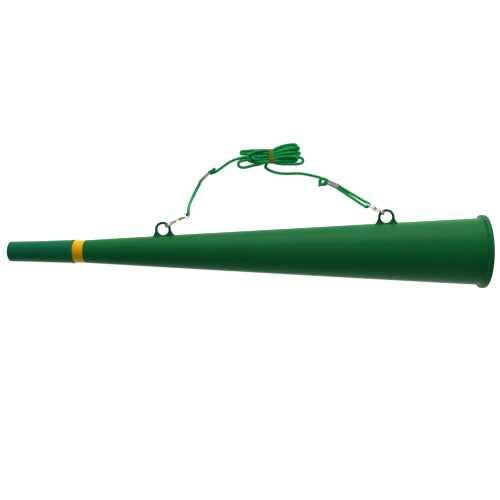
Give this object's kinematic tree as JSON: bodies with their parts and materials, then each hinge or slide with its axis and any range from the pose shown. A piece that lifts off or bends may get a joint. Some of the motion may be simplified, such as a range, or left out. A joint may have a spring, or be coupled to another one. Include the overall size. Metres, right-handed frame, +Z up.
{
  "type": "cheer megaphone",
  "caption": "Long moulded fan horn with a flanged bell, push-on mouthpiece, reed unit and ring lugs that carry a braided shoulder cord, hanked and tied, on swivel hooks.",
  "frame": {"origin": "bottom centre of the horn as it lies on a flat surface, resting on its bell flange and its mouthpiece's end; the free cord isn't counted", "axes": "+X from the mouthpiece to the bell, +Y towards the side that the cord lies on, +Z up"},
  "size_m": [0.6278, 0.1941, 0.0951],
  "materials": {
    "green_plastic": "semi-gloss moulded polythene with a fine grain",
    "mouthpiece_plastic": "semi-gloss moulded polythene, a little bluer than the horn",
    "yellow_plastic": "semi-gloss moulded plastic",
    "reed_plastic": "plain moulded plastic",
    "reed_brass": "bright rolled strip",
    "nickel_steel": "nickel plated, lightly scuffed",
    "crimp_metal": "pressed flat, tumbled",
    "cord": "round braided polypropylene",
    "rubber_band": "translucent natural rubber"
  },
  "bodies": {
    "horn": {"throat_cone": "green_plastic", "bell_cone": "green_plastic", "rear_lug": "green_plastic", "front_lug": "green_plastic"},
    "reed_unit": {"reed_holder": "yellow_plastic", "reed_trough": "reed_plastic", "reed_wedge": "reed_plastic"},
    "reed_tongue": {"reed_tongue": "reed_brass"},
    "mouthpiece": {"mouthpiece": "mouthpiece_plastic"},
    "lanyard": {"hank_cord": "cord", "hank_band": "rubber_band", "rear_run_cord": "cord", "front_run_cord": "cord", "rear_loop_cord": "cord", "front_loop_cord": "cord", "rear_tail": "cord", "front_knot": "cord", "rear_crimp": "crimp_metal", "front_crimp": "crimp_metal", "rear_swivel_eye": "nickel_steel", "rear_swivel_rivet": "nickel_steel", "front_swivel_eye": "nickel_steel", "front_swivel_rivet": "nickel_steel"},
    "rear_hook": {"rear_hook": "nickel_steel", "rear_gate_pin": "nickel_steel"},
    "rear_gate": {"rear_gate": "nickel_steel"},
    "front_hook": {"front_hook": "nickel_steel", "front_gate_pin": "nickel_steel"},
    "front_gate": {"front_gate": "nickel_steel"}
  },
  "joints": [
    {"name": "reed_unit_pull", "type": "slide", "parent": "horn", "child": "reed_unit", "axis": [-0.9985, 0, -0.055], "range_m": [0, 0.03]},
    {"name": "mouthpiece_pull", "type": "slide", "parent": "reed_unit", "child": "mouthpiece", "axis": [-0.9985, 0, -0.055], "range_m": [0, 0.03]},
    {"name": "reed_tongue_flex", "type": "hinge", "parent": "reed_unit", "child": "reed_tongue", "pos_m": [-0.23171, -0.00382, 0.01953], "axis": [-0.0133, 0.9703, 0.2416], "range_deg": [-1.6, 2], "stiffness_Nm_per_rad": 0.005},
    {"name": "lanyard_swing", "type": "hinge", "parent": "horn", "child": "lanyard", "pos_m": [-0.09592, 0.03099, 0.03374], "axis": [0.9959, 0.0577, 0.0693], "range_deg": [0, 84]},
    {"name": "rear_hook_swivel", "type": "hinge", "parent": "lanyard", "child": "rear_hook", "pos_m": [-0.09592, 0.03099, 0.03374], "axis": [0.8695, 0.4623, -0.1737], "range_deg": [-63, 0]},
    {"name": "front_hook_swivel", "type": "hinge", "parent": "lanyard", "child": "front_hook", "pos_m": [0.18072, 0.04703, 0.05298], "axis": [-0.4406, 0.3443, -0.829], "range_deg": [0, 42]},
    {"name": "rear_gate_hinge", "type": "hinge", "parent": "rear_hook", "child": "rear_gate", "pos_m": [-0.08217, 0.0383, 0.02876], "axis": [-0.4695, 0.8829, 0], "range_deg": [0, 24], "stiffness_Nm_per_rad": 0.004, "springref_deg": -28.65},
    {"name": "front_gate_hinge", "type": "hinge", "parent": "front_hook", "child": "front_gate", "pos_m": [0.17502, 0.05148, 0.03832], "axis": [-0.6157, -0.788, 0], "range_deg": [0, 24], "stiffness_Nm_per_rad": 0.004, "springref_deg": -28.65}
  ],
  "couplings": [
    {"joint": "rear_hook_swivel", "follows": "lanyard_swing", "ratio": -0.75},
    {"joint": "front_hook_swivel", "follows": "lanyard_swing", "ratio": 0.5}
  ]
}
